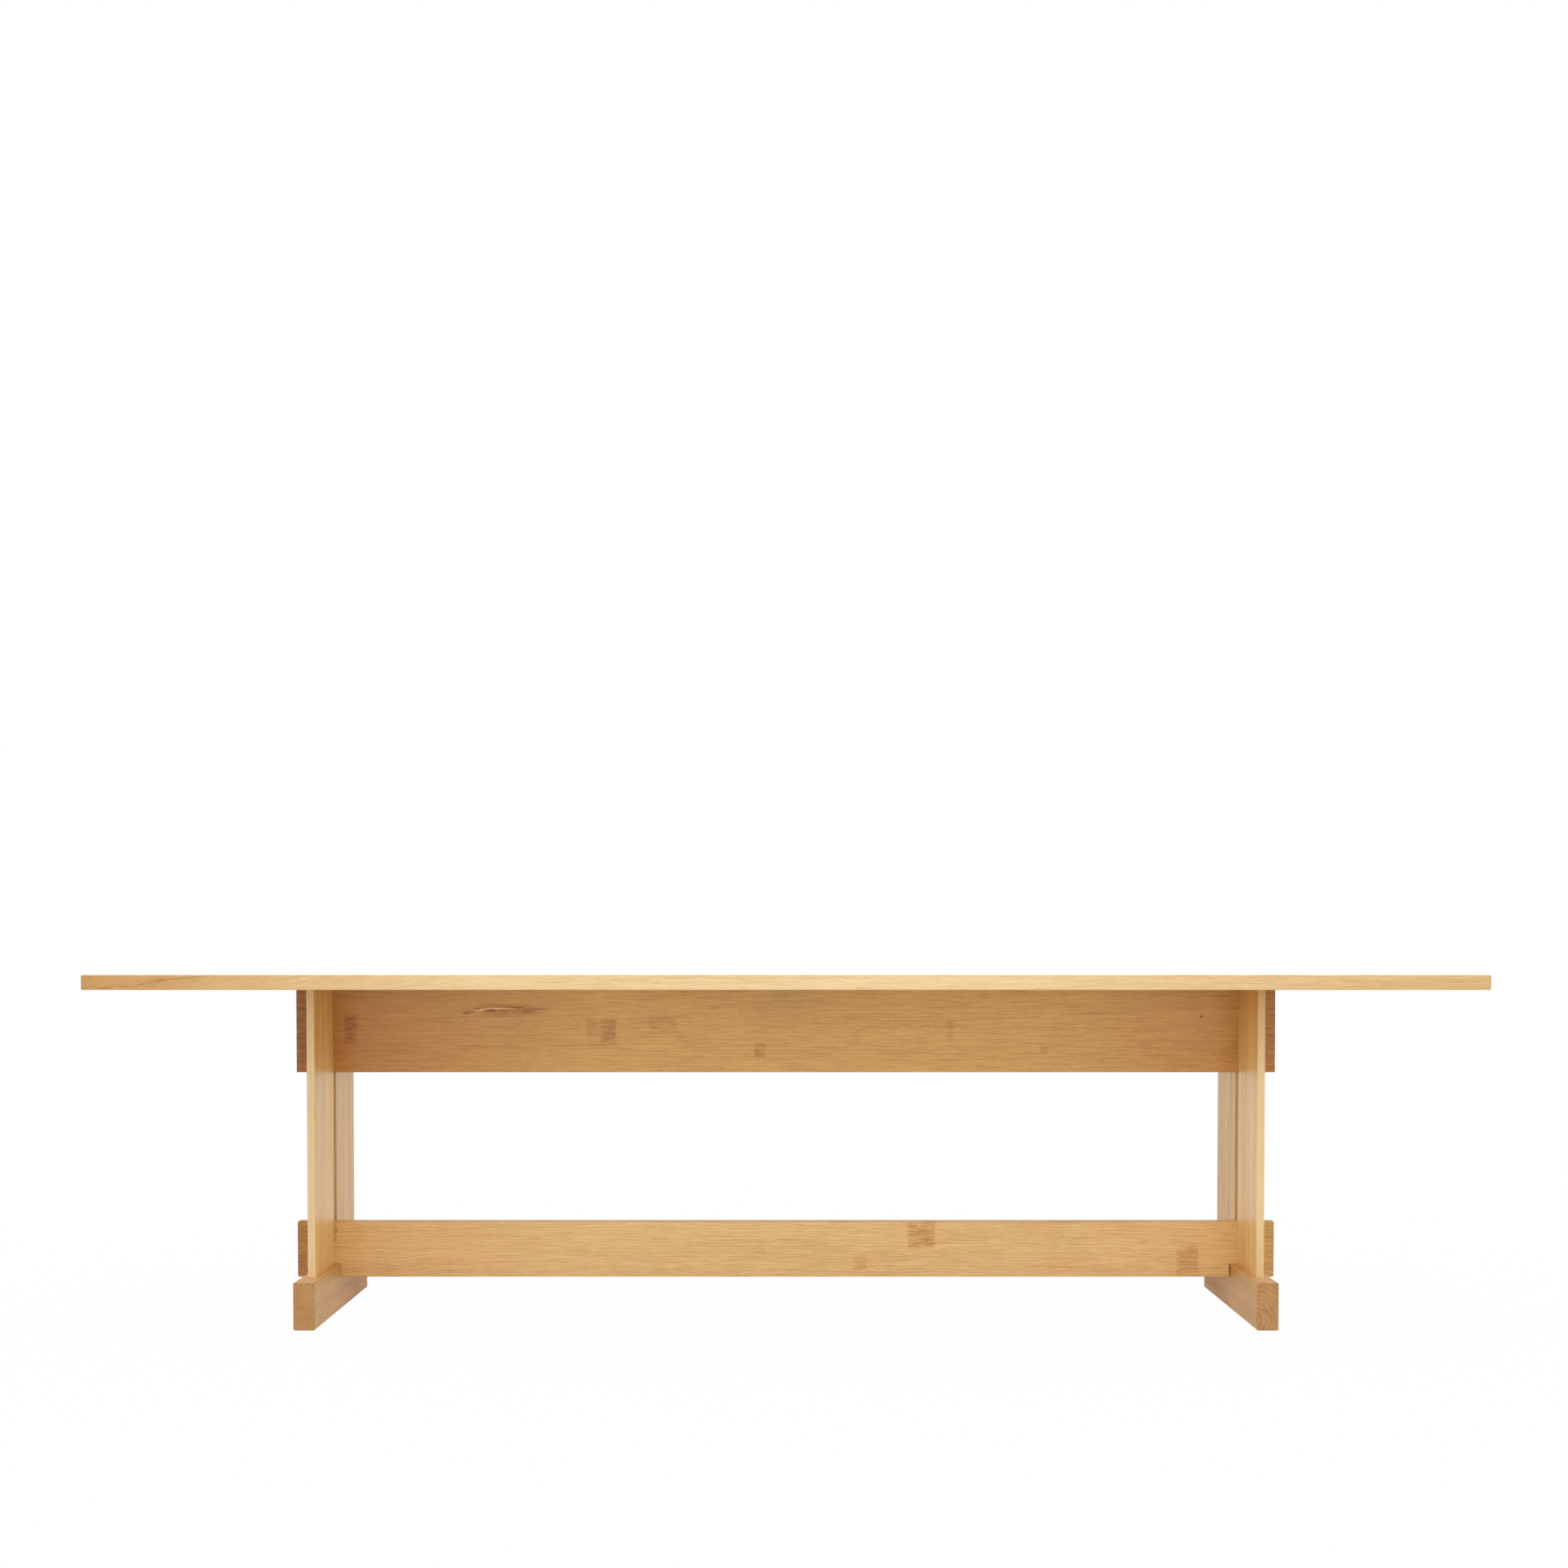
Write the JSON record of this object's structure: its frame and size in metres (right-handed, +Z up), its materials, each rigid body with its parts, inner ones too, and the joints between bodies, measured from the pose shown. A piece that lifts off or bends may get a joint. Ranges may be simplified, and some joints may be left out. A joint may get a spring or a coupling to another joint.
{
  "type": "trestle dining table",
  "caption": "Long dining table: a slab top on two sled-foot plank trestles, tied by a deep rail under the top and a low stretcher, both with through tails.",
  "frame": {"origin": "on the floor, at the middle of the table's footprint", "axes": "+Z up, +X along the table to the right seen from the front, front at -Y"},
  "size_m": [2.8, 0.95, 0.74],
  "materials": {
    "top_board_1": "oiled, satin",
    "top_board_2": "oiled, satin",
    "top_board_3": "oiled, satin",
    "top_board_4": "oiled, satin",
    "top_board_5": "oiled, satin",
    "top_board_6": "oiled, satin",
    "top_board_7": "oiled, satin",
    "upper_rail": "oiled, satin",
    "lower_stretcher": "oiled, satin",
    "left_foot": "oiled, satin",
    "right_foot": "oiled, satin",
    "left_front_plank": "oiled, satin",
    "left_rear_plank": "oiled, satin",
    "right_front_plank": "oiled, satin",
    "right_rear_plank": "oiled, satin",
    "beech_slip": "plain",
    "zinc_steel": "zinc plated",
    "insert_steel": "zinc plated, yellowed",
    "black_steel": "black powder coat",
    "screw_steel": "black zinc",
    "felt": "pressed wool felt"
  },
  "bodies": {
    "root": {"top_board_1": "top_board_1", "top_board_2": "top_board_2", "top_board_3": "top_board_3", "top_board_4": "top_board_4", "top_board_5": "top_board_5", "top_board_6": "top_board_6", "top_board_7": "top_board_7", "upper_rail": "upper_rail", "lower_stretcher": "lower_stretcher", "left_foot": "left_foot", "right_foot": "right_foot", "left_front_plank": "left_front_plank", "left_rear_plank": "left_rear_plank", "right_front_plank": "right_front_plank", "right_rear_plank": "right_rear_plank", "left_rail_slips": "beech_slip", "left_stretcher_slip": "beech_slip", "right_rail_slips": "beech_slip", "right_stretcher_slip": "beech_slip", "top_slips": "beech_slip", "top_bolts": "zinc_steel", "top_inserts": "insert_steel", "stiffener_channel_1": "black_steel", "stiffener_channel_2": "black_steel", "stiffener_channel_3": "black_steel", "channel_screws": "screw_steel", "felt_pads": "felt"}
  },
  "joints": []
}
